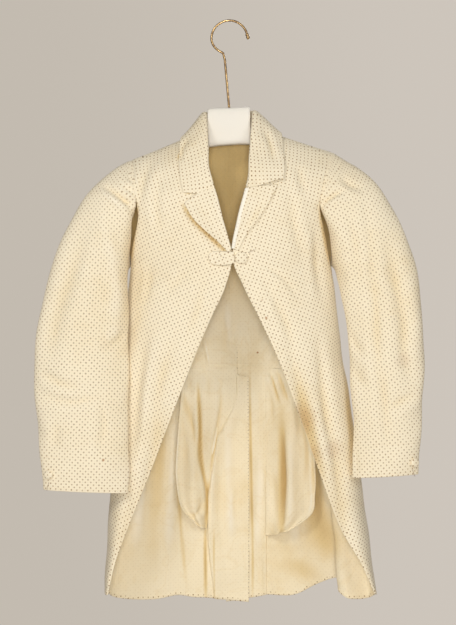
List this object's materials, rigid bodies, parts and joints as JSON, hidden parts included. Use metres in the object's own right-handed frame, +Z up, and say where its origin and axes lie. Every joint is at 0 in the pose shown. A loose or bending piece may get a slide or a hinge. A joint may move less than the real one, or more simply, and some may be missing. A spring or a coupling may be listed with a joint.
{
  "type": "cutaway coat on a hanger",
  "caption": "Cutaway cotton tailcoat in a small dotted print, hanging on a padded white hanger with a brass hook.",
  "frame": {"origin": "underside of the hook's crown, where the hanger hangs, with the wire's middle at y 0", "axes": "+Z up, the front faces -Y, +X is the wearer's left"},
  "size_m": [0.7001, 0.1801, 1.0741],
  "materials": {
    "printed_cotton": "matte",
    "plain_cotton": "matte",
    "covered_button": "matte",
    "white_board": "matte",
    "brass_wire": "satin"
  },
  "bodies": {
    "root": {"front_right": "printed_cotton", "front_left": "printed_cotton", "side_right": "printed_cotton", "side_left": "printed_cotton", "back_right": "printed_cotton", "back_left": "printed_cotton", "sleeve_right": "printed_cotton", "sleeve_left": "printed_cotton", "lapel_right": "printed_cotton", "lapel_left": "printed_cotton", "collar": "printed_cotton", "closure_tab": "printed_cotton", "closure_button": "covered_button", "cuff_button_right": "covered_button", "cuff_button_left": "covered_button", "pocket_bag_right": "plain_cotton", "pocket_bag_left": "plain_cotton", "hanger": "white_board", "hanger_hook": "brass_wire"}
  },
  "joints": []
}
